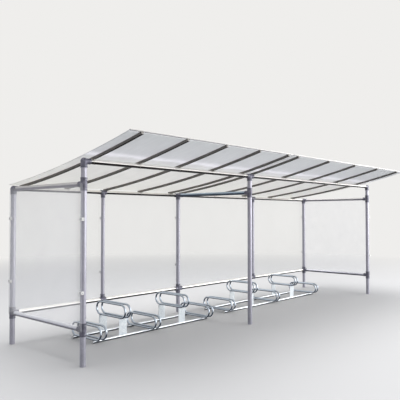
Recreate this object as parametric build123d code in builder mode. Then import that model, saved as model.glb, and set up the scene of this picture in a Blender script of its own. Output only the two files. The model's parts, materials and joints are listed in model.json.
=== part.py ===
from build123d import *
from math import atan2, cos, degrees, hypot, radians, sin, sqrt
import os

# Bike shelter: an open frame of round galvanised tubes held by cast clamps,
# with a curved lean-to roof, clear wall sheets and two racks of wheel hoops.
# Millimetres. X runs along the shelter, Y from the open front to the back, Z up.

# Frame
bay_left = 2760.0
bay_right = 3740.0
depth = 1390.0
front_beam_z = 2042.0
rear_beam_z = 1811.0
lower_rail_z = 363.0
post_d = 60.0
rail_d = 50.0
stanchion_left_x = 1305.0
stanchion_right_x = 1960.0

# Cast clamps
clamp_wall = 4.5
clamp_clearance = 0.3
clamp_reach = 66.0
stanchion_clamp_reach = 45.0
socket_reach = 72.0
bead_width = 9.0
bead_height = 1.5
tube_end_gap = 3.0

# Roof
roof_radius = 14200.0
rafter_width = 28.0
rafter_height = 26.0
rafter_count = 5
rafter_first_left = 122.0
rafter_pitch_left = 622.0
rafter_first_right = 88.0
rafter_pitch_right = 815.0
sheet_thickness = 6.0
sheet_gap = 30.0
roof_reach_front = 745.0
roof_reach_rear = 60.0
rafter_inset = 3.0
roof_overhang_left = 22.0
roof_inset_right = 100.0
trim_wall = 2.0
trim_depth = 22.0
trim_clearance = 0.2

# Wall sheets and their clips
panel_thickness = 5.0
panel_clearance = 1.0
panel_drop = 13.0
panel_rise = 4.0
panel_front_reach = 30.0
panel_corner_reach = 14.0
panel_joint = 10.0
panel_corner_r = 8.0
clip_heights = (730.0, 1460.0)
clip_height = 32.0
clip_width = 37.0
clip_wall = 4.0
clip_wrap = 14.0
clip_corner_r = 1.5
clip_clearance = 0.2

# Racks
rack_places_left = (685.0, 1085.0, 1550.0, 2125.0, 2580.0)
rack_places_right = (450.0, 1085.0, 1665.0, 2310.0, 2950.0)
rack_rear_gap_left = 209.0
rack_rear_gap_right = 119.0
rack_end_margin = 58.0
base_tube_d = 34.0
base_front_setback = 105.0
base_rear_setback = 500.0
hoop_tube_d = 24.0
hoop_height = 182.0
hoop_length = 591.0
hoop_gap = 56.0
low_hoop_lead = 45.0
high_hoop_lift = 194.0
plate_width = 124.0
plate_thickness = 5.0
plate_corner = 20.0
plate_rise = 4.0
seat_clearance = 0.2
plate_foot_depth = 1.5
cap_thickness = 5.0
cap_edge_r = 3.0

os.makedirs("parts", exist_ok=True)

# Places worked out from the sizes above
post_r = post_d / 2
rail_r = rail_d / 2
clamp_r = post_r + clamp_wall
clamp_outer_r = clamp_r + bead_height
frame_length = bay_left + bay_right

left_x = -frame_length / 2
middle_x = left_x + bay_left
right_x = middle_x + bay_right
front_y = (roof_reach_front - depth - roof_reach_rear) / 2
rear_y = front_y + depth
upper_rail_z = rear_beam_z
post_xs = {"left": left_x, "middle": middle_x, "right": right_x}
stanchion_xs = {"left": left_x + stanchion_left_x, "right": middle_x + stanchion_right_x}


def write_piece(builder, name):
    """Label a finished piece and write it as its own file."""
    builder.part.label = name
    export_step(builder.part, f"parts/{name}.step")


def tube(start, end, diameter):
    """A straight round tube between two points."""
    with BuildPart() as bar:
        with BuildSketch(Plane(origin=start, z_dir=Vector(*end) - Vector(*start))):
            Circle(diameter / 2)
        extrude(amount=(Vector(*end) - Vector(*start)).length)
    return bar


# Uprights
for side, x in post_xs.items():
    front_post = tube((x, front_y, 0), (x, front_y, front_beam_z), post_d)
    write_piece(front_post, f"front_post_{side}")
    rear_post = tube((x, rear_y, 0), (x, rear_y, rear_beam_z), post_d)
    write_piece(rear_post, f"rear_post_{side}")

stanchion_low = lower_rail_z + rail_r + tube_end_gap
stanchion_top = rear_beam_z - rail_r - tube_end_gap
for side, x in stanchion_xs.items():
    stanchion = tube((x, rear_y, stanchion_low), (x, rear_y, stanchion_top), rail_d)
    write_piece(stanchion, f"rear_stanchion_{side}")

# Beams and rails run from post to post
tube_end = post_r + tube_end_gap
spans = {"left": (left_x, middle_x), "right": (middle_x, right_x)}
for side, (start_x, end_x) in spans.items():
    for name, y, z in (
        ("front_beam", front_y, front_beam_z),
        ("rear_beam", rear_y, rear_beam_z),
        ("rear_lower_rail", rear_y, lower_rail_z),
    ):
        beam = tube((start_x + tube_end, y, z), (end_x - tube_end, y, z), rail_d)
        write_piece(beam, f"{name}_{side}")

for name, x, z in (
    ("side_upper_rail_left", left_x, upper_rail_z),
    ("cross_rail_middle", middle_x, upper_rail_z),
    ("side_upper_rail_right", right_x, upper_rail_z),
    ("side_lower_rail_left", left_x, lower_rail_z),
    ("side_lower_rail_right", right_x, lower_rail_z),
):
    rail = tube((x, front_y + tube_end, z), (x, rear_y - tube_end, z), rail_d)
    write_piece(rail, name)

# Directions of a clamp's arms
RIGHT = (1, 0, 0)
LEFT = (-1, 0, 0)
BACK = (0, 1, 0)
FRONT = (0, -1, 0)
UP = (0, 0, 1)
DOWN = (0, 0, -1)


def clamp(centre, sleeves, sockets, sleeve_reach=clamp_reach, closed=False):
    """Cast clamp: sleeves for the tube it grips, sockets for tubes that end in it.

    Each arm is (direction, tube diameter). A closed clamp has a rounded hub that
    caps the tube it stands on, and an open one lets that tube run through.
    """
    arms = [(way, d, sleeve_reach) for way, d in sleeves]
    arms += [(way, d, socket_reach) for way, d in sockets]
    grip_r = sleeves[0][1] / 2
    with BuildPart() as body:
        if closed:
            with Locations(centre):
                Sphere(grip_r + clamp_wall + bead_height)
        for way, diameter, reach in arms:
            arm = Plane(origin=centre, z_dir=way)
            with BuildSketch(arm):
                Circle(diameter / 2 + clamp_wall)
            extrude(amount=reach)
            with BuildSketch(arm.offset(reach - bead_width)):
                Circle(diameter / 2 + clamp_wall + bead_height)
            extrude(amount=bead_width)
        for way, diameter, reach in arms:
            is_socket = (way, diameter) in sockets
            start = grip_r + tube_end_gap if is_socket else 0.0
            bore = Plane(origin=centre, z_dir=way).offset(start)
            with BuildSketch(bore):
                Circle(diameter / 2 + clamp_clearance)
            extrude(amount=reach - start, mode=Mode.SUBTRACT)
    return body.part


def rails_at(side):
    """Directions in which beams leave a post of this column."""
    ways = {"left": [RIGHT], "middle": [LEFT, RIGHT], "right": [LEFT]}
    return [(way, rail_d) for way in ways[side]]


through_post = [(UP, post_d), (DOWN, post_d)]
post_below = [(DOWN, post_d)]

with BuildPart() as front_clamps:
    for side, x in post_xs.items():
        add(clamp((x, front_y, front_beam_z), post_below, rails_at(side), closed=True))
        add(clamp((x, front_y, upper_rail_z), through_post, [(BACK, rail_d)]))
        if side != "middle":
            add(clamp((x, front_y, lower_rail_z), through_post, [(BACK, rail_d)]))
write_piece(front_clamps, "front_clamps")

with BuildPart() as rear_clamps:
    for side, x in post_xs.items():
        top_sockets = rails_at(side) + [(FRONT, rail_d)]
        add(clamp((x, rear_y, rear_beam_z), post_below, top_sockets, closed=True))
        low_sockets = rails_at(side)
        if side != "middle":
            low_sockets.append((FRONT, rail_d))
        add(clamp((x, rear_y, lower_rail_z), through_post, low_sockets))
write_piece(rear_clamps, "rear_clamps")

through_rail = [(LEFT, rail_d), (RIGHT, rail_d)]
with BuildPart() as stanchion_clamps:
    for x in stanchion_xs.values():
        for z, way in ((rear_beam_z, DOWN), (lower_rail_z, UP)):
            add(clamp((x, rear_y, z), through_rail, [(way, rail_d)], stanchion_clamp_reach))
write_piece(stanchion_clamps, "stanchion_clamps")

# The roof is one round curve in side view. Its centre lies above the shelter, at
# the same distance from both beams, so that every rafter bears on both.
seat_r = roof_radius + rail_r
half_span_y = depth / 2
half_drop = (front_beam_z - rear_beam_z) / 2
chord_half = hypot(half_span_y, half_drop)
rise = sqrt(seat_r**2 - chord_half**2)
roof_centre_y = (front_y + rear_y) / 2 + rise * half_drop / chord_half
roof_centre_z = (front_beam_z + rear_beam_z) / 2 + rise * half_span_y / chord_half


def roof_angle(y):
    """Angle, in the side view about the roof's centre, of the curve over y."""
    across = y - roof_centre_y
    down = -sqrt(roof_radius**2 - across**2)
    return degrees(atan2(down, across))


def roof_strip(x_low, x_high, y_front, y_rear, lift, thickness):
    """Curved bar or sheet along the roof, its underside lift above the beams."""
    side_view = Plane(origin=(x_low, roof_centre_y, roof_centre_z), x_dir=BACK, z_dir=RIGHT)
    outer = roof_radius - lift
    inner = outer - thickness
    first = roof_angle(y_front)
    sweep_angle = roof_angle(y_rear) - first
    with BuildPart() as strip:
        with BuildSketch(side_view):
            with BuildLine():
                low_edge = CenterArc((0, 0), outer, first, sweep_angle)
                top_edge = CenterArc((0, 0), inner, first, sweep_angle)
                Line(low_edge @ 0, top_edge @ 0)
                Line(low_edge @ 1, top_edge @ 1)
            make_face()
        extrude(amount=x_high - x_low)
    return strip


roof_front_y = front_y - roof_reach_front
roof_rear_y = rear_y + roof_reach_rear
rafter_starts = {
    "left": (left_x + rafter_first_left, rafter_pitch_left),
    "right": (middle_x + rafter_first_right, rafter_pitch_right),
}
for side, (first_x, pitch) in rafter_starts.items():
    with BuildPart() as rafters:
        for number in range(rafter_count):
            x = first_x + number * pitch
            add(roof_strip(
                x - rafter_width / 2,
                x + rafter_width / 2,
                roof_front_y + rafter_inset,
                roof_rear_y - rafter_inset,
                0.0,
                rafter_height,
            ).part)
    write_piece(rafters, f"rafters_{side}")

last_rafter_left_x = left_x + rafter_first_left + (rafter_count - 1) * rafter_pitch_left
first_rafter_right_x = middle_x + rafter_first_right
sheet_joint_x = (last_rafter_left_x + first_rafter_right_x) / 2
sheet_spans = {
    "left": (left_x - roof_overhang_left, sheet_joint_x - sheet_gap / 2),
    "right": (sheet_joint_x + sheet_gap / 2, right_x - roof_inset_right),
}
for side, (low_x, high_x) in sheet_spans.items():
    sheet = roof_strip(
        low_x, high_x, roof_front_y, roof_rear_y, rafter_height, sheet_thickness
    )
    write_piece(sheet, f"roof_sheet_{side}")

# Angle strip over the front edge of each roof sheet
front_edge_angle = radians(roof_angle(roof_front_y))
across_sheet = (0, cos(front_edge_angle), sin(front_edge_angle))
sheet_low_r = roof_radius - rafter_height
sheet_top_r = sheet_low_r - sheet_thickness
trim_top_r = sheet_top_r - trim_clearance - trim_wall
with BuildPart() as roof_front_trim:
    for low_x, high_x in sheet_spans.values():
        edge = Plane(
            origin=(low_x, roof_centre_y, roof_centre_z), x_dir=across_sheet, z_dir=RIGHT
        )
        with BuildSketch(edge):
            with Locations((trim_top_r, -trim_clearance - trim_wall)):
                Rectangle(sheet_low_r - trim_top_r, trim_wall, align=(Align.MIN, Align.MIN))
                Rectangle(trim_wall, trim_depth, align=(Align.MIN, Align.MIN))
        extrude(amount=high_x - low_x)
write_piece(roof_front_trim, "roof_front_trim")

# Clear wall sheets stand outside the frame, just clear of the clamps. Each wall is
# given by its outward way, its uprights (place of the axis, radius), how far its
# outer edges reach past its end uprights, and the names of its sheets.
panel_face = clamp_outer_r + panel_clearance
panel_low = lower_rail_z - panel_drop
panel_high = upper_rail_z + panel_rise


def wall_sheet(first_edge, last_edge, outward):
    """Flat sheet between two upright edges, given as points on the frame's axes."""
    along = (last_edge - first_edge).normalized()
    height = panel_high - panel_low
    middle_z = (panel_low + panel_high) / 2
    middle = (first_edge + last_edge) * 0.5 + Vector(*outward) * panel_face
    face = Plane(origin=middle + Vector(0, 0, middle_z), x_dir=along, z_dir=outward)
    with BuildPart() as panel:
        with BuildSketch(face):
            RectangleRounded((last_edge - first_edge).length, height, panel_corner_r)
        extrude(amount=panel_thickness)
    return panel


def wall_clip(upright, along, edges, low_x, z):
    """Moulded clip, hollowed to an upright and slotted for each sheet edge it holds.

    Edges are (place along the wall from the upright's axis, way into the sheet).
    """
    x, y, radius = upright
    section = Plane(origin=(x, y, z - clip_height / 2), x_dir=along, z_dir=UP)
    inner_y = radius - clip_wrap
    slot_y = panel_face - clip_clearance
    slot_width = panel_thickness + 2 * clip_clearance
    with BuildPart() as clip:
        with BuildSketch(section):
            with Locations((low_x, inner_y)):
                block_depth = slot_y + slot_width + clip_wall - inner_y
                Rectangle(clip_width, block_depth, align=(Align.MIN, Align.MIN))
            Circle(radius + clip_clearance, mode=Mode.SUBTRACT)
            for edge_x, way in edges:
                slot_middle = edge_x + way * (clip_width / 2 - clip_clearance)
                with Locations((slot_middle, slot_y + slot_width / 2)):
                    Rectangle(clip_width, slot_width, mode=Mode.SUBTRACT)
        extrude(amount=clip_height)
        outward = Axis(origin=section.origin, direction=section.y_dir)
        fillet(clip.edges().filter_by(Axis.Z).sort_by(outward)[-2:], clip_corner_r)
    return clip.part


corner_left = (left_x, rear_y, post_r)
corner_right = (right_x, rear_y, post_r)
walls = (
    (
        LEFT,
        ((left_x, front_y, post_r), corner_left),
        (panel_front_reach, panel_corner_reach),
        ("side_panel_left",),
    ),
    (
        BACK,
        (
            corner_left,
            (stanchion_xs["left"], rear_y, rail_r),
            (middle_x, rear_y, post_r),
            (stanchion_xs["right"], rear_y, rail_r),
            corner_right,
        ),
        (panel_corner_reach, panel_corner_reach),
        (
            "rear_panel_left_outer",
            "rear_panel_left_inner",
            "rear_panel_right_inner",
            "rear_panel_right_outer",
        ),
    ),
    (
        RIGHT,
        (corner_right, (right_x, front_y, post_r)),
        (panel_corner_reach, panel_front_reach),
        ("side_panel_right",),
    ),
)
clip_places = []
for outward, uprights, (first_reach, last_reach), names in walls:
    axes = [Vector(x, y, 0) for x, y, radius in uprights]
    along = (axes[-1] - axes[0]).normalized()
    half_joint = panel_joint / 2
    starts = [-first_reach] + [half_joint] * (len(names) - 1)
    ends = [-half_joint] * (len(names) - 1) + [last_reach]
    for number, name in enumerate(names):
        first_edge = axes[number] + along * starts[number]
        last_edge = axes[number + 1] + along * ends[number]
        write_piece(wall_sheet(first_edge, last_edge, outward), name)
    for number, upright in enumerate(uprights):
        edges = []
        if number > 0:
            edges.append((ends[number - 1], -1))
        if number < len(names):
            edges.append((starts[number], 1))
        low_x = -clip_width / 2
        if number == 0:
            low_x = -first_reach - clip_wall
        if number == len(names):
            low_x = last_reach + clip_wall - clip_width
        clip_places.append((upright, along, edges, low_x))

with BuildPart() as panel_clips:
    for clip_place in clip_places:
        for z in clip_heights:
            add(wall_clip(*clip_place, z))
write_piece(panel_clips, "panel_clips")

# Wheel racks: pairs of upright hoops, low and high by turns, on two floor tubes
hoop_r = hoop_tube_d / 2
bend_r = (hoop_height - hoop_tube_d) / 2
hoop_offset = (hoop_gap + hoop_tube_d) / 2
low_hoop_z = base_tube_d + hoop_r
high_hoop_z = low_hoop_z + high_hoop_lift


def hoop(x, y_front, z):
    """Closed loop of round tube from y_front back, its lower straight at height z."""
    front = y_front + hoop_r + bend_r
    rear = y_front + hoop_length - hoop_r - bend_r
    side_view = Plane(origin=(x, 0, 0), x_dir=BACK, z_dir=RIGHT)
    with BuildPart() as loop:
        with BuildLine(side_view) as path:
            Line((front, z), (rear, z))
            CenterArc((rear, z + bend_r), bend_r, -90, 180)
            Line((rear, z + 2 * bend_r), (front, z + 2 * bend_r))
            CenterArc((front, z + bend_r), bend_r, 90, 180)
        with BuildSketch(Plane(origin=(x, front, z), z_dir=BACK)):
            Circle(hoop_r)
        sweep(path=path.wires()[0])
    return loop.part


def hoop_pairs(places, y_front, z):
    """Two hoops at each place, with room for a wheel between them."""
    with BuildPart() as pairs:
        for x in places:
            add(hoop(x - hoop_offset, y_front, z))
            add(hoop(x + hoop_offset, y_front, z))
    return pairs


def plate(x, y):
    """Upright plate from a floor tube to a high pair, which sits in its top corners."""
    foot_z = base_tube_d - plate_foot_depth
    top_z = high_hoop_z + plate_rise
    half = plate_width / 2
    face = Plane(origin=(x, y, 0), x_dir=RIGHT, z_dir=FRONT)
    with BuildPart() as upright:
        with BuildSketch(face):
            with BuildLine():
                Polyline(
                    (-half, foot_z),
                    (half, foot_z),
                    (half, top_z - plate_corner),
                    (half - plate_corner, top_z),
                    (plate_corner - half, top_z),
                    (-half, top_z - plate_corner),
                    close=True,
                )
            make_face()
            with Locations((-hoop_offset, high_hoop_z), (hoop_offset, high_hoop_z)):
                Circle(hoop_r + seat_clearance, mode=Mode.SUBTRACT)
        extrude(amount=plate_thickness / 2, both=True)
        with BuildSketch(Plane(origin=(x - half, y, base_tube_d / 2), z_dir=RIGHT)):
            Circle(base_tube_d / 2 + seat_clearance)
        extrude(amount=plate_width, mode=Mode.SUBTRACT)
    return upright.part


def end_cap(x, y, way):
    """Round cap on the end of a floor tube."""
    with BuildPart() as cap:
        with BuildSketch(Plane(origin=(x, y, base_tube_d / 2), z_dir=way)):
            Circle(base_tube_d / 2)
        extrude(amount=cap_thickness)
        along_tube = Axis(origin=(x, y, 0), direction=way)
        outer_edge = cap.edges().filter_by(GeomType.CIRCLE).sort_by(along_tube)[-1]
        fillet(outer_edge, cap_edge_r)
    return cap.part


# Each rack stands a clear gap in front of the rear frame, measured at its high hoops
racks = {
    "left": ([left_x + place for place in rack_places_left], rack_rear_gap_left),
    "right": ([middle_x + place for place in rack_places_right], rack_rear_gap_right),
}
for side, (places, rear_gap) in racks.items():
    high_hoop_y = rear_y - rear_gap - hoop_length
    low_places = places[0::2]
    high_places = places[1::2]
    tube_low = places[0] - rack_end_margin
    tube_high = places[-1] + rack_end_margin
    base_ys = (high_hoop_y + base_front_setback, high_hoop_y + base_rear_setback)
    with BuildPart() as base_tubes:
        for y in base_ys:
            low_end = (tube_low, y, base_tube_d / 2)
            high_end = (tube_high, y, base_tube_d / 2)
            add(tube(low_end, high_end, base_tube_d).part)
    write_piece(base_tubes, f"rack_{side}_base_tubes")
    with BuildPart() as end_caps:
        for y in base_ys:
            add(end_cap(tube_low, y, LEFT))
            add(end_cap(tube_high, y, RIGHT))
    write_piece(end_caps, f"rack_{side}_end_caps")
    low_hoops = hoop_pairs(low_places, high_hoop_y - low_hoop_lead, low_hoop_z)
    write_piece(low_hoops, f"rack_{side}_low_hoops")
    high_hoops = hoop_pairs(high_places, high_hoop_y, high_hoop_z)
    write_piece(high_hoops, f"rack_{side}_high_hoops")
    with BuildPart() as plates:
        for x in high_places:
            for y in base_ys:
                add(plate(x, y))
    write_piece(plates, f"rack_{side}_plates")
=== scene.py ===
import json
import bpy
import numpy as np
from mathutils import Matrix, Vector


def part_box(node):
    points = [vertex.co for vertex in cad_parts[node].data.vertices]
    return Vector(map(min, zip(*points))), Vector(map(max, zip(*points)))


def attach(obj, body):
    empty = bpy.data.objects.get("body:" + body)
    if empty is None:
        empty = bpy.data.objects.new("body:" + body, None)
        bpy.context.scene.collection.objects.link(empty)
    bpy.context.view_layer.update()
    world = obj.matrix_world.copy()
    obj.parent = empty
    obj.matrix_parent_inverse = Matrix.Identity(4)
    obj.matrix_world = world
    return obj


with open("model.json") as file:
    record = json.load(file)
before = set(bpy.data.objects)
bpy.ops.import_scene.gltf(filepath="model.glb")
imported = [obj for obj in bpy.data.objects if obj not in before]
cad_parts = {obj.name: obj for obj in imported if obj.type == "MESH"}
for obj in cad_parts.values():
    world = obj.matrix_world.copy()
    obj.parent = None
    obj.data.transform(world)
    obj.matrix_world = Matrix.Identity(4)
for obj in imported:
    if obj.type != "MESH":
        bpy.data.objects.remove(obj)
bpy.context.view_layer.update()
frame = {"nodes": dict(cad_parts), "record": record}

# Bike shelter: finishes, small fittings, camera and light round the solids of the frame

MM = 0.001
SIDES = ("left", "middle", "right")
ENDS = ("left", "right")
FORWARD = np.array([0, -1.0, 0])

# Roof build-up, as in the frame
ROOF_RADIUS = 14200 * MM
RAFTER_HEIGHT = 26 * MM
SHEET_THICKNESS = 6 * MM

# Where the grub screws sit on the clamps, from each clamp's middle, and the ways along x
# in which beams leave the posts of each side
BEAM_WAYS = {"left": (1,), "middle": (-1, 1), "right": (-1,)}
CLAMP_WALL = 4.5 * MM
ARM_MIDDLE = 44 * MM
SOCKET_MIDDLE = 55 * MM
STANCHION_MIDDLE = 50 * MM
SLEEVE_MIDDLE = 28 * MM

# Grub screws, each in a low boss, with a hole for the key
BOSS_R = 5.5 * MM
BOSS_FOOT_R = 7.5 * MM
BOSS_HEIGHT = 3.0 * MM
BOSS_SUNK = 1.5 * MM
KEY_R = 2.6 * MM
KEY_CHAMFER = 0.8 * MM
KEY_DEPTH = 2.5 * MM
SCREW_SEGMENTS = 12

# Button head screws, bare or on a washer
HEAD_R = 5.0 * MM
HEAD_RIM = 1.0 * MM
HEAD_HEIGHT = 3.2 * MM
SUNK = 0.5 * MM
WASHER_R = 12.0 * MM
WASHER_FOOT_R = 11.0 * MM
WASHER_TOP_R = 10.5 * MM
WASHER_LIP = 0.8 * MM
WASHER_HEIGHT = 2.5 * MM
WASHER_SEGMENTS = 16
FIXINGS_PER_RAFTER = 6
FIXING_MARGIN = 60 * MM

# Saddle straps that hold the rafters to the beams
STRAP_WIDTH = 22 * MM
STRAP_THICK = 2.5 * MM
STRAP_EAR = 24 * MM
STRAP_BEND_R = 4 * MM
STRAP_BEND_POINTS = 5
STRAP_TURN_POINTS = 10

# Clips of the wall sheets
CLIP_HEIGHTS = (730 * MM, 1460 * MM)
CLIP_FRONT_END = 34 * MM
CLIP_CORNER_END = 18 * MM
CLIP_BACK = 46.2 * MM
CLIP_SIDE_SCREW = 30.5 * MM

# Welds of the racks: straight at the plates' feet, arcs under the high hoops where they
# lie in the plates, and rings under the low hoops
WELD_R = 2.6 * MM
WELD_RIPPLE = 7.0 * MM
WELD_SWELL = 0.15
WELD_TIP = 0.25
WELD_SEGMENTS = 8
PLATE_THICKNESS = 5 * MM
PLATE_WELD_MARGIN = 2 * MM
PLATE_WELD_OUT = 1 * MM
PLATE_WELD_SUNK = 0.6 * MM
PLATE_WELD_POINTS = 60
CRADLE_WELD_ARC = (205, 335)
CRADLE_WELD_CLEAR = 1 * MM
CRADLE_WELD_OUT = 0.5 * MM
CRADLE_WELD_POINTS = 24
RING_WELD_R = 7.5 * MM
RING_WELD_POINTS = 32

# Steps in x that part rafters and plates, and the two tubes of a wheel hoop
WIDE_GAP = 100 * MM
NARROW_GAP = 30 * MM

# Camera, fitted to the posts: metres from the front left post, degrees, and pixels
CAMERA_TO_LEFT = 3.129
CAMERA_TO_FRONT = 4.393
CAMERA_HEIGHT = 1.5
CAMERA_YAW = 47.9
CAMERA_PITCH = 1.65
FOCAL_PIXELS = 527.3
PHOTO_PIXELS = 400
SENSOR_WIDTH = 36.0
VIEW_REACH = 200

# Soft lamps, all turned to one point: place, width, height and watts
LAMP_AIM = (0.0, 0.0, 1.0)
LAMPS = {
    "front_lamp": ((7.5, -11.5, 4.2), 20.0, 8.0, 2100),
    "side_lamp": ((13.0, -4.0, 3.5), 6.0, 6.0, 650),
    "top_lamp": ((-1.0, 1.0, 10.0), 10.0, 8.0, 1200),
}
SKY_LIGHT = "#e6ebf5"
SKY_STRENGTH = 0.6

# Floor and background
PAPER = "#efeeec"
FLOOR = "#bfbebd"
FLOOR_BOUNCE = "#77767a"
FLOOR_REACH = 60.0
FADE_START = 5.0
FADE_END = 13.0

# A Mix node's two colours in and its colour out go by number, because their names repeat
COLOUR_A, COLOUR_B, COLOUR_OUT = 6, 7, 2


# Where things are, read from the frame

def box_of(node):
    """Low and high corner of a node as arrays."""
    low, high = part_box(node)
    return np.array(low), np.array(high)


def centre_of(node):
    """Middle of a node's box."""
    low, high = box_of(node)
    return (low + high) / 2


post_x = {side: centre_of(f"front_post_{side}")[0] for side in SIDES}
stanchion_x = [centre_of(f"rear_stanchion_{end}")[0] for end in ENDS]
front_y = centre_of("front_post_left")[1]
rear_y = centre_of("rear_post_left")[1]
front_beam_z = centre_of("front_beam_left")[2]
rear_beam_z = centre_of("rear_beam_left")[2]
lower_rail_z = centre_of("rear_lower_rail_left")[2]
post_low, post_high = box_of("front_post_left")
post_r = (post_high[0] - post_low[0]) / 2
beam_low, beam_high = box_of("front_beam_left")
rail_r = (beam_high[2] - beam_low[2]) / 2
roof_low, roof_high = box_of("roof_sheet_left")
roof_front_y, roof_rear_y = roof_low[1], roof_high[1]

# The roof's round curve, at the same distance from the axes of both beams
half_beams = np.array([rear_y - front_y, rear_beam_z - front_beam_z]) / 2
half_chord = np.linalg.norm(half_beams)
rise = np.sqrt((ROOF_RADIUS + rail_r) ** 2 - half_chord**2)
roof_centre = (
    np.array([front_y, front_beam_z])
    + half_beams
    + rise * np.array([-half_beams[1], half_beams[0]]) / half_chord
)


def x_spans(node, gap):
    """Low and high x of each group of a node's points that a gap parts from the next."""
    mesh = frame["nodes"][node].data
    points = np.empty(len(mesh.vertices) * 3)
    mesh.vertices.foreach_get("co", points)
    x = np.sort(points[0::3])
    breaks = np.flatnonzero(np.diff(x) > gap)
    lows = x[np.append(0, breaks + 1)]
    highs = x[np.append(breaks, len(x) - 1)]
    return np.stack([lows, highs], axis=1)


def roof_point(y, radius):
    """Point of the roof's curve over y at a radius, and the way down from it."""
    across = y - roof_centre[0]
    down = -np.sqrt(radius**2 - across**2)
    return np.array([y, roof_centre[1] + down]), np.array([across, down]) / radius


# Meshes from arrays

def unit(vector):
    """A vector, or each row of an array of them, scaled to length one."""
    vector = np.array(vector, float)
    return vector / np.linalg.norm(vector, axis=-1, keepdims=True)


def points_of(x, y, z):
    """Points from their three coordinates, each an array or one value for all of them."""
    return np.stack(np.broadcast_arrays(x, y, z), axis=-1)


def make_piece(name, points, faces, material, smooth=True):
    """A mesh object at the origin from an array of points and a list of faces."""
    mesh = bpy.data.meshes.new(name)
    mesh.from_pydata(points.tolist(), [], faces)
    mesh.polygons.foreach_set("use_smooth", np.full(len(mesh.polygons), smooth))
    mesh.materials.append(material)
    mesh.validate()
    mesh.update()
    piece = bpy.data.objects.new(name, mesh)
    bpy.context.scene.collection.objects.link(piece)
    return piece


def grid_faces(rows, columns, loop=False):
    """Quads over a grid of points stored row by row, closed across its columns.

    A loop is closed from its last row to its first as well. Otherwise the first and the
    last row each get one face, which looks outward.
    """
    row = np.arange(rows if loop else rows - 1)[:, None]
    column = np.arange(columns)[None, :]
    here = row * columns
    after = (row + 1) % rows * columns
    beside = (column + 1) % columns
    quads = np.stack([here + column, here + beside, after + beside, after + column], axis=-1)
    faces = quads.reshape(-1, 4).tolist()
    if not loop:
        last = (rows - 1) * columns
        faces.append(list(range(columns))[::-1])
        faces.append(list(range(last, last + columns)))
    return faces


def turned(profile, segments):
    """Surface of revolution: each (radius, height) of the profile makes one ring."""
    angle = np.linspace(0, 2 * np.pi, segments, endpoint=False)
    radius, height = np.array(profile).T[:, :, None]
    points = points_of(radius * np.cos(angle), radius * np.sin(angle), height)
    return points.reshape(-1, 3), grid_faces(len(profile), segments)


def carried(path, across, up, section, scale=1.0, loop=False):
    """A closed section carried along a path, with a flat end at each side unless a loop.

    Point (i, j) is path[i] + scale[i] * (section[j].x * across[i] + section[j].y * up[i]).
    """
    scale = np.broadcast_to(scale, len(path))[:, None, None]
    offset = (
        section[None, :, 0, None] * across[:, None, :] + section[None, :, 1, None] * up[:, None, :]
    )
    points = (path[:, None, :] + scale * offset).reshape(-1, 3)
    return points, grid_faces(len(path), len(section), loop)


def placed(shape, origin, toward):
    """A shape made along +Z, turned to point toward a direction and moved to origin.

    Its own X and Y axes are set by a helper that is well away from the direction.
    """
    points, faces = shape
    z_axis = unit(toward)
    helper = [1.0, 0, 0] if abs(z_axis[0]) < 0.9 else [0, 1.0, 0]
    x_axis = unit(np.cross(helper, z_axis))
    y_axis = np.cross(z_axis, x_axis)
    turn = np.stack([x_axis, y_axis, z_axis])
    return points @ turn + np.array(origin), faces


def joined(shapes):
    """Several shapes as one array of points and one list of faces."""
    points, faces, offset = [], [], 0
    for shape_points, shape_faces in shapes:
        points.append(shape_points)
        faces += [[index + offset for index in face] for face in shape_faces]
        offset += len(shape_points)
    return np.concatenate(points), faces


# Materials

def linear(code):
    """A colour written as sRGB hex, as linear red, green and blue with full alpha."""
    value = np.array([int(code[i:i + 2], 16) for i in (1, 3, 5)]) / 255
    low = value / 12.92
    high = ((value + 0.055) / 1.055) ** 2.4
    return (*np.where(value <= 0.04045, low, high).tolist(), 1.0)


def add_node(owner, kind, inputs=None, stops=(), **settings):
    """Adds a node to a material or world, with its settings.

    Its inputs are set or linked by name or number. A colour ramp takes its stops as
    (position, hex colour).
    """
    node = owner.node_tree.nodes.new(kind)
    for name, value in settings.items():
        setattr(node, name, value)
    for name, value in (inputs or {}).items():
        if isinstance(value, bpy.types.NodeSocket):
            owner.node_tree.links.new(value, node.inputs[name])
        else:
            node.inputs[name].default_value = value
    if stops:
        elements = node.color_ramp.elements
        while len(elements) < len(stops):
            elements.new(0.5)
        for element, (position, code) in zip(elements, stops):
            element.position = position
            element.color = linear(code)
    return node


def start_material(name):
    """An empty node material, and the object coordinates that its patterns read."""
    material = bpy.data.materials.new(name)
    material.use_nodes = True
    material.node_tree.nodes.clear()
    place = add_node(material, "ShaderNodeTexCoord").outputs["Object"]
    return material, place


def painted_light_and_shade(material, colour, painted_shade_tints):
    """A colour times one tint on lower faces, one on upright faces and one on upper faces.

    These are painted light and painted shade by the way a face looks. The height of the
    surface's own normal, eased from -0.75 to 0.75, tells them apart.
    """
    normal = add_node(material, "ShaderNodeNewGeometry").outputs["Normal"]
    height = add_node(material, "ShaderNodeSeparateXYZ", {"Vector": normal}).outputs["Z"]
    upward = add_node(
        material, "ShaderNodeMapRange",
        {"Value": height, "From Min": -0.75, "From Max": 0.75},
        interpolation_type="SMOOTHSTEP",
    ).outputs["Result"]
    lower, upright, upper = painted_shade_tints
    # Painted light and shade: one tint for each way a face looks
    tint = add_node(
        material, "ShaderNodeValToRGB", {"Fac": upward},
        stops=[(0.36, lower), (0.49, upright), (0.6, upright), (0.85, upper)],
    ).outputs["Color"]
    return add_node(
        material, "ShaderNodeMix", {"Factor": 1.0, COLOUR_A: colour, COLOUR_B: tint},
        data_type="RGBA", blend_type="MULTIPLY",
    ).outputs[COLOUR_OUT]


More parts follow.
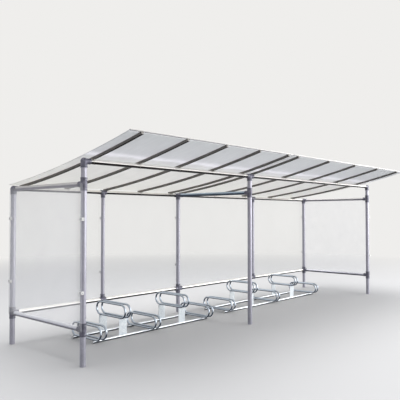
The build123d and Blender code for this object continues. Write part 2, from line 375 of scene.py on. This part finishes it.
def galvanised_steel(name, tones, painted_shade_tints, spangle_mm, metallic, rough):
    """Hot dip galvanised steel: a smooth zinc skin with a faint crystal pattern.

    The spangle is a cell pattern of the crystals' size. Broad clouds of zinc bloom lie
    over it. Lower, upright and upper faces each take a colour of their own, which is painted
    light and painted shade, mostly a darker lower face. Tones are the zinc's colours from
    dark to light, and the face colours of lower, upright and upper faces go to the painted
    light and shade.
    """
    material, place = start_material(name)
    crystals = add_node(
        material, "ShaderNodeTexVoronoi", {"Vector": place, "Scale": 1 / (spangle_mm * MM)}
    ).outputs["Color"]
    crystal_tone = add_node(
        material, "ShaderNodeSeparateColor", {"Color": crystals}
    ).outputs["Red"]
    bloom = add_node(
        material, "ShaderNodeTexNoise",
        {"Vector": place, "Scale": 1 / (110 * MM), "Detail": 5.0, "Roughness": 0.65},
    ).outputs["Fac"]
    tone = add_node(
        material, "ShaderNodeMix", {"Factor": 0.7, "A": crystal_tone, "B": bloom},
        data_type="FLOAT",
    ).outputs["Result"]
    dark, middle, light = tones
    zinc = add_node(
        material, "ShaderNodeValToRGB", {"Fac": tone},
        stops=[(0.2, dark), (0.5, middle), (0.8, light)],
    ).outputs["Color"]
    roughness = add_node(
        material, "ShaderNodeMapRange",
        {"Value": tone, "From Min": 0.2, "From Max": 0.8,
         "To Min": rough - 0.04, "To Max": rough + 0.06},
    ).outputs["Result"]
    grain = add_node(
        material, "ShaderNodeTexNoise",
        {"Vector": place, "Scale": 1 / (3 * MM), "Detail": 2.0},
    ).outputs["Fac"]
    bump = add_node(
        material, "ShaderNodeBump",
        {"Height": grain, "Strength": 0.08, "Distance": 0.3 * MM},
    ).outputs["Normal"]
    shader = add_node(
        material, "ShaderNodeBsdfPrincipled",
        {"Base Color": painted_light_and_shade(material, zinc, painted_shade_tints), "Metallic": metallic,
         "Roughness": roughness, "Normal": bump},
    ).outputs["BSDF"]
    add_node(material, "ShaderNodeOutputMaterial", {"Surface": shader})
    return material


def cast_iron_galvanised():
    """Malleable cast iron dipped in zinc: dark slate grey, sandy and dull."""
    material, place = start_material("galvanised_cast_iron")
    patch_width = 100 / 3 * MM
    patches = add_node(
        material, "ShaderNodeTexNoise", {"Vector": place, "Scale": 1 / patch_width, "Detail": 5.0}
    ).outputs["Fac"]
    colour = add_node(
        material, "ShaderNodeValToRGB", {"Fac": patches},
        stops=[(0.3, "#55545f"), (0.5, "#666572"), (0.72, "#7b7a86")],
    ).outputs["Color"]
    sand = add_node(
        material, "ShaderNodeTexNoise",
        {"Vector": place, "Scale": 1 / (2.5 * MM), "Detail": 3.0, "Roughness": 0.7},
    ).outputs["Fac"]
    bump = add_node(
        material, "ShaderNodeBump", {"Height": sand, "Strength": 0.35, "Distance": 0.6 * MM}
    ).outputs["Normal"]
    shader = add_node(
        material, "ShaderNodeBsdfPrincipled",
        {"Base Color": colour, "Metallic": 0.55, "Roughness": 0.5, "Normal": bump},
    ).outputs["BSDF"]
    add_node(material, "ShaderNodeOutputMaterial", {"Surface": shader})
    return material


def powder_coated_box():
    """Grey powder coat on steel box bar: matt, with the fine orange peel of the coat.

    Its lower face is painted near black as painted shade, and its upright faces are painted
    a little darker than its upper face.
    """
    material, place = start_material("grey_powder_coat")
    dust = add_node(
        material, "ShaderNodeTexNoise",
        {"Vector": place, "Scale": 1 / (80 * MM), "Detail": 5.0, "Roughness": 0.6},
    ).outputs["Fac"]
    grey = add_node(
        material, "ShaderNodeValToRGB", {"Fac": dust},
        stops=[(0.3, "#a29e98"), (0.5, "#aca8a1"), (0.7, "#b7b3ac")],
    ).outputs["Color"]
    peel = add_node(
        material, "ShaderNodeTexNoise", {"Vector": place, "Scale": 1 / (2 * MM), "Detail": 2.0}
    ).outputs["Fac"]
    bump = add_node(
        material, "ShaderNodeBump", {"Height": peel, "Strength": 0.2, "Distance": 0.2 * MM}
    ).outputs["Normal"]
    shader = add_node(
        material, "ShaderNodeBsdfPrincipled",
        {"Base Color": painted_light_and_shade(material, grey, ("#18161a", "#bfbebf", "#ffffff")),
         "Roughness": 0.7, "Specular IOR Level": 0.1, "Normal": bump},
    ).outputs["BSDF"]
    add_node(material, "ShaderNodeOutputMaterial", {"Surface": shader})
    return material


def roof_polycarbonate():
    """Opal twin-wall polycarbonate: it glows with the light from above.

    Its flutes run from front to back. They are drawn 20 mm wide, about twice their real
    width, so that they show. Rain streaks run along them. The part in front of the beam,
    open to the sky below, is painted greyer as painted shade, with a pale wavering band
    just in front of the beam that is a painted highlight. The part behind it is warm white,
    and the strip under the trim is painted white as painted light over the trim's shadow.
    """
    material, place = start_material("opal_polycarbonate")
    stretched = add_node(
        material, "ShaderNodeMapping", {"Vector": place, "Scale": (1.0, 0.06, 1.0)}
    ).outputs["Vector"]
    streaks = add_node(
        material, "ShaderNodeTexNoise",
        {"Vector": stretched, "Scale": 1 / (45 * MM), "Detail": 4.0},
    ).outputs["Fac"]
    flute_width = 20 * MM
    # At a scale of 1, a wave's bands are 2 pi / 20 wide
    flutes = add_node(
        material, "ShaderNodeTexWave",
        {"Vector": place, "Scale": 2 * np.pi / 20 / flute_width, "Distortion": 0.0},
        wave_type="BANDS", bands_direction="X",
    ).outputs["Fac"]
    pattern = add_node(
        material, "ShaderNodeMix", {"Factor": 0.35, "A": streaks, "B": flutes},
        data_type="FLOAT",
    ).outputs["Result"]
    faint = add_node(
        material, "ShaderNodeValToRGB", {"Fac": pattern},
        stops=[(0.2, "#f0f0f0"), (0.8, "#ffffff")],
    ).outputs["Color"]
    ribs = add_node(
        material, "ShaderNodeBump", {"Height": flutes, "Strength": 0.3, "Distance": 1 * MM}
    ).outputs["Normal"]

    along = add_node(material, "ShaderNodeSeparateXYZ", {"Vector": place}).outputs["Y"]
    depth = add_node(
        material, "ShaderNodeMapRange",
        {"Value": along, "From Min": roof_front_y, "From Max": roof_rear_y},
    ).outputs["Result"]
    # Painted shade along the roof: the part in front of the beam is painted greyer, and the strip
    # under the trim is painted white as painted light
    painted_shade_along_roof = add_node(
        material, "ShaderNodeValToRGB", {"Fac": depth},
        stops=[(0.01, "#ffffff"), (0.016, "#d9dada"), (0.28, "#dededf"), (0.4, "#e7e6e4"),
               (1.0, "#ebeae6")],
    ).outputs["Color"]
    waver = add_node(
        material, "ShaderNodeTexNoise",
        {"Vector": place, "Scale": 1 / (500 * MM), "Detail": 3.0, "Roughness": 0.6},
    ).outputs["Fac"]
    # The depth plus 0.09 of the noise
    wavering = add_node(
        material, "ShaderNodeMath", {0: waver, 1: 0.09, 2: depth}, operation="MULTIPLY_ADD"
    ).outputs["Value"]
    # Painted highlight: a pale wavering band on the roof just in front of the beam
    painted_highlight_band = add_node(
        material, "ShaderNodeValToRGB", {"Fac": wavering},
        stops=[(0.295, "#000000"), (0.332, "#ffffff"), (0.362, "#000000")],
    ).outputs["Color"]
    with_painted_highlight = add_node(
        material, "ShaderNodeMix",
        {"Factor": painted_highlight_band, COLOUR_A: painted_shade_along_roof, COLOUR_B: linear("#f3f2f4")},
        data_type="RGBA",
    ).outputs[COLOUR_OUT]
    colour = add_node(
        material, "ShaderNodeMix", {"Factor": 1.0, COLOUR_A: with_painted_highlight, COLOUR_B: faint},
        data_type="RGBA", blend_type="MULTIPLY",
    ).outputs[COLOUR_OUT]

    through = add_node(material, "ShaderNodeBsdfTranslucent", {"Color": colour}).outputs["BSDF"]
    skin = add_node(
        material, "ShaderNodeBsdfPrincipled",
        {"Base Color": colour, "Roughness": 0.42, "IOR": 1.58, "Normal": ribs},
    ).outputs["BSDF"]
    mixed = add_node(material, "ShaderNodeMixShader", {0: 0.25, 1: through, 2: skin})
    add_node(material, "ShaderNodeOutputMaterial", {"Surface": mixed.outputs["Shader"]})
    return material


def wall_polycarbonate(name, veil, haze):
    """Clear polycarbonate with a thin veil of fine scratches and lime from the rain.

    The veil scatters light both back and onward, and the rest passes straight through.
    Haze is the share of the light that the veil takes, and it varies in broad clouds.
    """
    material, place = start_material(name)
    clouds = add_node(
        material, "ShaderNodeTexNoise",
        {"Vector": place, "Scale": 1 / (600 * MM), "Detail": 3.0},
    ).outputs["Fac"]
    share = add_node(
        material, "ShaderNodeMapRange",
        {"Value": clouds, "From Min": 0.3, "From Max": 0.7,
         "To Min": haze * 0.85, "To Max": haze * 1.15},
    ).outputs["Result"]
    clear = add_node(
        material, "ShaderNodeBsdfTransparent", {"Color": linear("#fdfdfd")}
    ).outputs["BSDF"]
    onward = add_node(
        material, "ShaderNodeBsdfTranslucent", {"Color": linear(veil)}
    ).outputs["BSDF"]
    skin = add_node(
        material, "ShaderNodeBsdfPrincipled",
        {"Base Color": linear(veil), "Roughness": 0.22, "IOR": 1.58},
    ).outputs["BSDF"]
    scatter = add_node(
        material, "ShaderNodeMixShader", {0: 0.5, 1: onward, 2: skin}
    ).outputs["Shader"]
    mixed = add_node(material, "ShaderNodeMixShader", {0: share, 1: clear, 2: scatter})
    add_node(material, "ShaderNodeOutputMaterial", {"Surface": mixed.outputs["Shader"]})
    return material


def moulded_plastic():
    """White moulded nylon, slightly yellowed, with a fine eroded mould texture."""
    material, place = start_material("white_moulded_nylon")
    grain = add_node(
        material, "ShaderNodeTexNoise", {"Vector": place, "Scale": 1 / (2 * MM), "Detail": 2.0}
    ).outputs["Fac"]
    colour = add_node(
        material, "ShaderNodeValToRGB", {"Fac": grain},
        stops=[(0.3, "#e6e5e0"), (0.7, "#f3f2ee")],
    ).outputs["Color"]
    bump = add_node(
        material, "ShaderNodeBump", {"Height": grain, "Strength": 0.1, "Distance": 0.2 * MM}
    ).outputs["Normal"]
    shader = add_node(
        material, "ShaderNodeBsdfPrincipled",
        {"Base Color": colour, "Roughness": 0.45, "Normal": bump},
    ).outputs["BSDF"]
    add_node(material, "ShaderNodeOutputMaterial", {"Surface": shader})
    return material


def trim_aluminium():
    """Mill finish aluminium angle: bright, with lines along the extrusion."""
    material, place = start_material("mill_aluminium")
    stretched = add_node(
        material, "ShaderNodeMapping", {"Vector": place, "Scale": (0.02, 1.0, 1.0)}
    ).outputs["Vector"]
    lines = add_node(
        material, "ShaderNodeTexNoise",
        {"Vector": stretched, "Scale": 1 / (2 * MM), "Detail": 3.0},
    ).outputs["Fac"]
    bright = add_node(
        material, "ShaderNodeValToRGB", {"Fac": lines},
        stops=[(0.3, "#eceae6"), (0.7, "#f8f6f3")],
    ).outputs["Color"]
    # Painted light on the lower faces, which keep the full bright colour, and painted shade on the
    # upright and upper faces, which are darker
    colour = painted_light_and_shade(material, bright, ("#ffffff", "#c8c8c8", "#d4d4d4"))
    shader = add_node(
        material, "ShaderNodeBsdfPrincipled",
        {"Base Color": colour, "Metallic": 0.35, "Roughness": 0.4},
    ).outputs["BSDF"]
    add_node(material, "ShaderNodeOutputMaterial", {"Surface": shader})
    return material


def zinc_plated():
    """Zinc plated screws: bright bluish metal with a little handling wear."""
    material, place = start_material("zinc_plated_steel")
    wear = add_node(
        material, "ShaderNodeTexNoise", {"Vector": place, "Scale": 1 / (6 * MM), "Detail": 3.0}
    ).outputs["Fac"]
    colour = add_node(
        material, "ShaderNodeValToRGB", {"Fac": wear},
        stops=[(0.3, "#7d8088"), (0.7, "#a6a9b0")],
    ).outputs["Color"]
    shader = add_node(
        material, "ShaderNodeBsdfPrincipled",
        {"Base Color": colour, "Metallic": 0.9, "Roughness": 0.4},
    ).outputs["BSDF"]
    add_node(material, "ShaderNodeOutputMaterial", {"Surface": shader})
    return material


# Small fittings, each made along +Z

def socket_screw():
    """Grub screw in a low boss.

    The profile rises from the sunk foot over a shoulder at 0.6 of the height to a flat
    rim, and then goes down a chamfer into the hole for the key.
    """
    return turned(
        [
            (BOSS_FOOT_R, -BOSS_SUNK),
            ((BOSS_R + BOSS_FOOT_R) / 2, BOSS_HEIGHT * 0.6),
            (BOSS_R, BOSS_HEIGHT),
            (KEY_R + KEY_CHAMFER, BOSS_HEIGHT),
            (KEY_R, BOSS_HEIGHT - KEY_CHAMFER),
            (KEY_R, BOSS_HEIGHT - KEY_DEPTH),
        ],
        SCREW_SEGMENTS,
    )


def button_head(base):
    """Domed screw head whose foot is at height base.

    The dome is the first 50 degrees of an ellipse that stands on a straight rim. The
    hole for the key narrows to 0.9 of its radius at 0.4 of the head's height.
    """
    angle = np.radians([0, 25, 50])
    dome_height = base + HEAD_RIM + (HEAD_HEIGHT - HEAD_RIM) * np.sin(angle)
    dome = np.stack([HEAD_R * np.cos(angle), dome_height], axis=1)
    return turned(
        [
            (HEAD_R, base - SUNK),
            *dome.tolist(),
            (KEY_R, base + HEAD_HEIGHT),
            (KEY_R * 0.9, base + HEAD_HEIGHT * 0.4),
        ],
        SCREW_SEGMENTS,
    )


def washer_head():
    """Button head on a dished sealing washer, which is widest at the lip of its seal."""
    washer = turned(
        [
            (WASHER_FOOT_R, -SUNK),
            (WASHER_R, WASHER_LIP),
            (WASHER_TOP_R, WASHER_HEIGHT * 0.8),
            (HEAD_R, WASHER_HEIGHT),
        ],
        WASHER_SEGMENTS,
    )
    return joined([washer, button_head(WASHER_HEIGHT)])


def screw_places():
    """(point, direction) of each grub screw, on the sides that the sheets leave free.

    The sleeves on the posts and the sockets of the beams have theirs in front, and the
    sockets of the rails that run from front to back have theirs on the inner side.
    """
    places = []
    post_skin = post_r + CLAMP_WALL
    rail_skin = rail_r + CLAMP_WALL
    for side, x in post_x.items():
        inward = np.array([-1.0 if side == "right" else 1.0, 0, 0])
        cross_heights = [rear_beam_z] if side == "middle" else [rear_beam_z, lower_rail_z]
        sleeves = [(front_y, front_beam_z - ARM_MIDDLE), (rear_y, rear_beam_z - ARM_MIDDLE)]
        sleeves += [(rear_y, lower_rail_z + way * ARM_MIDDLE) for way in (-1, 1)]
        for z in cross_heights:
            sleeves += [(front_y, z + way * ARM_MIDDLE) for way in (-1, 1)]
            for y in (front_y + SOCKET_MIDDLE, rear_y - SOCKET_MIDDLE):
                places.append(((x, y, z) + inward * rail_skin, inward))
        for y, z in sleeves:
            places.append(((x, y, z) + FORWARD * post_skin, FORWARD))
        for way in BEAM_WAYS[side]:
            for y, z in (
                (front_y, front_beam_z),
                (rear_y, rear_beam_z),
                (rear_y, lower_rail_z),
            ):
                point = (x + way * SOCKET_MIDDLE, y, z) + FORWARD * rail_skin
                places.append((point, FORWARD))
    for x in stanchion_x:
        for z, way in ((rear_beam_z, -1), (lower_rail_z, 1)):
            for point in (
                (x - SLEEVE_MIDDLE, rear_y, z),
                (x + SLEEVE_MIDDLE, rear_y, z),
                (x, rear_y, z + way * STANCHION_MIDDLE),
            ):
                places.append((point + FORWARD * rail_skin, FORWARD))
    return places


def clip_screw_places():
    """(point, direction) of the screw of each wall clip.

    A rear clip has it on its outer leaf. A side clip, whose leaf is the shelter's
    outermost face, has it on its narrow end.
    """
    places = []
    for z in CLIP_HEIGHTS:
        for x in [*post_x.values(), *stanchion_x]:
            places.append(((x, rear_y + CLIP_BACK, z), -FORWARD))
        for end, way in zip(ENDS, (-1, 1)):
            x = post_x[end] + way * CLIP_SIDE_SCREW
            places.append(((x, front_y - CLIP_FRONT_END, z), FORWARD))
            places.append(((x, rear_y + CLIP_CORNER_END, z), -FORWARD))
    return places


def roof_screw_places(rafter_x):
    """(point, direction) of the washer screws that hold the sheets to the rafters."""
    radius = ROOF_RADIUS - RAFTER_HEIGHT - SHEET_THICKNESS
    first_y, last_y = roof_front_y + FIXING_MARGIN, roof_rear_y - FIXING_MARGIN
    places = []
    for x in rafter_x:
        for y in np.linspace(first_y, last_y, FIXINGS_PER_RAFTER):
            point, down = roof_point(y, radius)
            places.append(((x, *point), (0, *-down)))
    return places


def saddle(centre, down):
    """Strap round the lower side of a beam, with a flat ear against the rafter each way.

    In side view the strap's middle line is half a turn of radius r round the beam, two
    straight legs, and two quarter turns outward that end in the ears. Its section is a
    flat rectangle, and its two screws point down.
    """
    radius = rail_r + STRAP_THICK / 2
    ear_height = -(rail_r - STRAP_THICK / 2)
    corner_centre = np.array([-(radius + STRAP_BEND_R), ear_height + STRAP_BEND_R])
    ear_end = np.array([[corner_centre[0] - STRAP_EAR, ear_height]])
    bend = np.linspace(0, np.pi / 2, STRAP_BEND_POINTS)
    corner = corner_centre + STRAP_BEND_R * np.stack([np.sin(bend), -np.cos(bend)], axis=1)
    turn = np.linspace(np.pi, np.pi / 2, STRAP_TURN_POINTS)
    quarter = radius * np.stack([np.cos(turn), np.sin(turn)], axis=1)
    half = np.concatenate([ear_end, corner, quarter])
    line = np.concatenate([half, half[-2::-1] * [-1, 1]])

    along = np.array([0, -down[1], down[0]])
    down = np.array([0, *down])
    path = np.array(centre) + line[:, :1] * along + line[:, 1:] * down
    tangent = unit(np.gradient(path, axis=0))
    across = np.broadcast_to([1.0, 0, 0], path.shape)
    half_size = np.array([STRAP_WIDTH, STRAP_THICK]) / 2
    section = np.array([[-1, -1], [1, -1], [1, 1], [-1, 1]]) * half_size
    strap = carried(path, across, np.cross(tangent, across), section)
    reach = -corner_centre[0] + STRAP_EAR / 2
    below = down * (ear_height + STRAP_THICK / 2)
    heads = [
        placed(button_head(0.0), np.array(centre) + way * reach * along + below, down)
        for way in (-1, 1)
    ]
    return [strap, *heads]


def weld_bead(path, up, loop=False):
    """Bead of weld along a path, a round section that swells with each ripple.

    The radius at distance s is WELD_R * (1 + WELD_SWELL * sin(2 pi s / WELD_RIPPLE)), and
    it falls off to WELD_TIP of that at the two ends unless the path is a loop.
    """
    if loop:
        tangent = unit(np.roll(path, -1, axis=0) - np.roll(path, 1, axis=0))
    else:
        tangent = unit(np.gradient(path, axis=0))
    across = unit(np.cross(np.broadcast_to(up, path.shape), tangent))
    steps = np.linalg.norm(np.diff(path, axis=0), axis=1)
    run = np.append(0, np.cumsum(steps))
    swell = 1 + WELD_SWELL * np.sin(2 * np.pi * run / WELD_RIPPLE)
    if not loop:
        swell *= np.clip(np.minimum(run, run[-1] - run) / WELD_R, WELD_TIP, 1.0)
    angle = np.linspace(0, 2 * np.pi, WELD_SEGMENTS, endpoint=False)
    section = WELD_R * np.stack([np.cos(angle), np.sin(angle)], axis=1)
    return carried(path, across, np.cross(tangent, across), section, swell, loop)


def rack_welds(side):
    """Beads at the feet of the plates, under the high hoops and under the low hoops.

    The first are straight. The second are arcs round a hoop's tube, on both faces of the
    plate that it lies in. The third are rings, whose height is halfway between the skins
    of the hoop's tube and of the base tube below it.
    """
    tubes_low, tubes_high = box_of(f"rack_{side}_base_tubes")
    tube_r = (tubes_high[2] - tubes_low[2]) / 2
    tube_ys = (tubes_low[1] + tube_r, tubes_high[1] - tube_r)
    beads = []

    foot_z = 2 * tube_r - PLATE_WELD_SUNK
    for low_x, high_x in x_spans(f"rack_{side}_plates", WIDE_GAP):
        x = np.linspace(low_x + PLATE_WELD_MARGIN, high_x - PLATE_WELD_MARGIN, PLATE_WELD_POINTS)
        for y in tube_ys:
            for way in (-1, 1):
                face_y = y + way * (PLATE_THICKNESS / 2 + PLATE_WELD_OUT)
                beads.append(weld_bead(points_of(x, face_y, foot_z), (0, 0, 1.0)))

    hoops_bottom = box_of(f"rack_{side}_high_hoops")[0][2]
    angle = np.radians(np.linspace(*CRADLE_WELD_ARC, CRADLE_WELD_POINTS))
    for low_x, high_x in x_spans(f"rack_{side}_high_hoops", NARROW_GAP):
        hoop_r = (high_x - low_x) / 2
        x = (low_x + high_x) / 2 + (hoop_r + CRADLE_WELD_CLEAR) * np.cos(angle)
        z = hoops_bottom + hoop_r + (hoop_r + CRADLE_WELD_CLEAR) * np.sin(angle)
        for y in tube_ys:
            for way in (-1, 1):
                face_y = y + way * (PLATE_THICKNESS / 2 + CRADLE_WELD_OUT)
                beads.append(weld_bead(points_of(x, face_y, z), (0, 1.0, 0)))

    angle = np.linspace(0, 2 * np.pi, RING_WELD_POINTS, endpoint=False)
    beside_x = RING_WELD_R * np.cos(angle)
    beside_y = RING_WELD_R * np.sin(angle)
    on_tube = tube_r + np.sqrt(tube_r**2 - beside_y**2)
    for low_x, high_x in x_spans(f"rack_{side}_low_hoops", NARROW_GAP):
        hoop_r = (high_x - low_x) / 2
        on_hoop = 2 * tube_r + hoop_r - np.sqrt(hoop_r**2 - beside_x**2)
        x = (low_x + high_x) / 2 + beside_x
        for y in tube_ys:
            ring = points_of(x, y + beside_y, (on_tube + on_hoop) / 2)
            beads.append(weld_bead(ring, (0, 0, 1.0), loop=True))
    return beads


def add_fitting(name, shapes, material, smooth=True):
    """One rigid piece made of several small shapes."""
    piece = make_piece(name, *joined(shapes), material, smooth)
    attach(piece, "root")


# Camera and light

def add_camera():
    """Camera at the photograph's viewpoint, at eye height to the left of the front.

    Its turn to the right from straight back is CAMERA_YAW, and it looks up a little.
    """
    data = bpy.data.cameras.new("camera")
    data.sensor_width = SENSOR_WIDTH
    data.lens = SENSOR_WIDTH * FOCAL_PIXELS / PHOTO_PIXELS
    data.clip_end = VIEW_REACH
    camera = bpy.data.objects.new("camera", data)
    camera.location = (post_x["left"] - CAMERA_TO_LEFT, front_y - CAMERA_TO_FRONT, CAMERA_HEIGHT)
    camera.rotation_euler = np.radians([90 + CAMERA_PITCH, 0.0, -CAMERA_YAW])
    bpy.context.scene.collection.objects.link(camera)
    bpy.context.scene.camera = camera


def add_lamp(name, location, width, height, power):
    """A soft rectangular lamp that faces LAMP_AIM."""
    data = bpy.data.lights.new(name, "AREA")
    data.shape = "RECTANGLE"
    data.size = width
    data.size_y = height
    data.energy = power
    lamp = bpy.data.objects.new(name, data)
    lamp.location = location
    way = np.array(LAMP_AIM) - np.array(location)
    yaw = np.arctan2(way[1], way[0]) - np.pi / 2
    tilt = np.arctan2(np.hypot(way[0], way[1]), -way[2])
    lamp.rotation_euler = (tilt, 0.0, yaw)
    bpy.context.scene.collection.objects.link(lamp)


def add_floor():
    """Pale floor that fades into the background colour away from the shelter.

    The light that it throws up on the shelter is that of a greyer floor.
    """
    material, place = start_material("pale_floor")
    distance = add_node(
        material, "ShaderNodeVectorMath", {0: place}, operation="LENGTH"
    ).outputs["Value"]
    fade = add_node(
        material, "ShaderNodeMapRange",
        {"Value": distance, "From Min": FADE_START, "From Max": FADE_END},
    ).outputs["Result"]
    ground = add_node(
        material, "ShaderNodeBsdfPrincipled",
        {"Base Color": linear(FLOOR), "Roughness": 0.9, "Specular IOR Level": 0.1},
    ).outputs["BSDF"]
    haze = add_node(
        material, "ShaderNodeEmission", {"Color": linear(PAPER), "Strength": 1.0}
    ).outputs["Emission"]
    seen = add_node(
        material, "ShaderNodeMixShader", {0: fade, 1: ground, 2: haze}
    ).outputs["Shader"]
    bounce = add_node(
        material, "ShaderNodeBsdfDiffuse", {"Color": linear(FLOOR_BOUNCE)}
    ).outputs["BSDF"]
    diffuse_ray = add_node(material, "ShaderNodeLightPath").outputs["Is Diffuse Ray"]
    mixed = add_node(material, "ShaderNodeMixShader", {0: diffuse_ray, 1: seen, 2: bounce})
    add_node(material, "ShaderNodeOutputMaterial", {"Surface": mixed.outputs["Shader"]})
    corners = np.array([[-1, -1, 0], [1, -1, 0], [1, 1, 0], [-1, 1, 0]]) * FLOOR_REACH
    floor = make_piece("floor", corners, [[0, 1, 2, 3]], material, smooth=False)


def add_world():
    """Even light from all round, and the paper colour wherever the sky is seen."""
    world = bpy.data.worlds.new("world")
    bpy.context.scene.world = world
    world.use_nodes = True
    world.node_tree.nodes.clear()
    diffuse_ray = add_node(world, "ShaderNodeLightPath").outputs["Is Diffuse Ray"]
    sky = add_node(
        world, "ShaderNodeBackground", {"Color": linear(PAPER), "Strength": 1.0}
    ).outputs["Background"]
    light = add_node(
        world, "ShaderNodeBackground", {"Color": linear(SKY_LIGHT), "Strength": SKY_STRENGTH}
    ).outputs["Background"]
    mixed = add_node(world, "ShaderNodeMixShader", {0: diffuse_ray, 1: sky, 2: light})
    add_node(world, "ShaderNodeOutputWorld", {"Surface": mixed.outputs["Shader"]})


# Finishes by the record's material slot
moulded_nylon = moulded_plastic()
# The second colour triple of each galvanised_steel finish is painted shade and painted light on
# lower, upright and upper faces
finishes = {
    "steel_post": galvanised_steel(
        "galvanised_post_tube", ("#9a99a3", "#a3a2ad", "#aeadb7"),
        ("#8a8a90", "#ffffff", "#ffffff"), spangle_mm=12, metallic=0.6, rough=0.42,
    ),
    "steel_rail": galvanised_steel(
        "galvanised_rail_tube", ("#dddbd6", "#e6e4df", "#eeece7"),
        ("#211e20", "#d2d1d2", "#ffffff"), spangle_mm=12, metallic=0.8, rough=0.36,
    ),
    "clamp_iron": cast_iron_galvanised(),
    "rafter_metal": powder_coated_box(),
    "roof_sheet": roof_polycarbonate(),
    "edge_trim": trim_aluminium(),
    "wall_sheet": wall_polycarbonate("clear_rear_polycarbonate", "#e4e6e3", haze=0.07),
    "clip_plastic": moulded_nylon,
    "rack_tube": galvanised_steel(
        "galvanised_base_tube", ("#e0e4e7", "#e8ecee", "#eff2f4"),
        ("#4a4c52", "#a8acb2", "#ffffff"), spangle_mm=9, metallic=0.75, rough=0.36,
    ),
    "rack_hoop": galvanised_steel(
        "galvanised_hoop_tube", ("#c3ccd6", "#cdd5de", "#d9e0e7"),
        ("#5e636c", "#f2f3f5", "#e4e7ea"), spangle_mm=8, metallic=0.75, rough=0.32,
    ),
    "rack_plate": galvanised_steel(
        "galvanised_plate", ("#c6ced3", "#dbe1e4", "#f0f3f4"),
        ("#8a8a90", "#ffffff", "#ffffff"), spangle_mm=14, metallic=0.25, rough=0.42,
    ),
    "cap_plastic": moulded_nylon,
}
for part in frame["record"]["subparts"]:
    materials = frame["nodes"][part["node"]].data.materials
    materials.clear()
    materials.append(finishes[part["material_slot"]])

# Finishes of single nodes, which differ from the rest of their slot
# The second colour triple of each galvanised_steel finish is painted shade and painted light on
# lower, upright and upper faces
single_finishes = {
    ("side_panel_left", "side_panel_right"): wall_polycarbonate(
        "clear_side_polycarbonate", "#fafafb", haze=0.2
    ),
    ("side_upper_rail_left", "side_upper_rail_right"): galvanised_steel(
        "galvanised_side_tube", ("#d4d3d6", "#dddce0", "#e6e5e8"),
        ("#8f8d94", "#dddcda", "#d6d5d2"), spangle_mm=12, metallic=0.7, rough=0.36,
    ),
    ("side_lower_rail_left", "side_lower_rail_right"): galvanised_steel(
        "galvanised_low_rail_tube", ("#e6e6ee", "#eeeef4", "#f6f6fa"),
        ("#3c3c4a", "#d4d4de", "#ffffff"), spangle_mm=12, metallic=0.5, rough=0.36,
    ),
    ("rear_stanchion_left", "rear_stanchion_right"): finishes["steel_post"],
    ("cross_rail_middle",): galvanised_steel(
        "galvanised_cross_tube", ("#94a3b2", "#9eadbb", "#abb9c5"),
        ("#56606c", "#e0e4e8", "#ffffff"), spangle_mm=12, metallic=0.7, rough=0.36,
    ),
}
for nodes, finish in single_finishes.items():
    for node in nodes:
        frame["nodes"][node].data.materials[0] = finish

# Fittings, placed on the frame
rafter_x = np.concatenate(
    [x_spans(f"rafters_{end}", WIDE_GAP).mean(axis=1) for end in ENDS]
)
saddles = []
for y in (front_y, rear_y):
    beam_point, down = roof_point(y, ROOF_RADIUS + rail_r)
    for x in rafter_x:
        saddles += saddle((x, *beam_point), down)
add_fitting("rafter_saddles", saddles, finishes["steel_rail"], smooth=False)

screw_metal = zinc_plated()
for name, screw, places in (
    ("clamp_screws", socket_screw(), screw_places()),
    ("roof_screws", washer_head(), roof_screw_places(rafter_x)),
    ("clip_screws", button_head(0.0), clip_screw_places()),
):
    shapes = [placed(screw, point, way) for point, way in places]
    add_fitting(name, shapes, screw_metal)
for end in ENDS:
    add_fitting(f"rack_{end}_welds", rack_welds(end), finishes["rack_hoop"])

add_camera()
add_world()
add_floor()
for name, lamp in LAMPS.items():
    add_lamp(name, *lamp)
bpy.context.scene.view_settings.view_transform = "Standard"
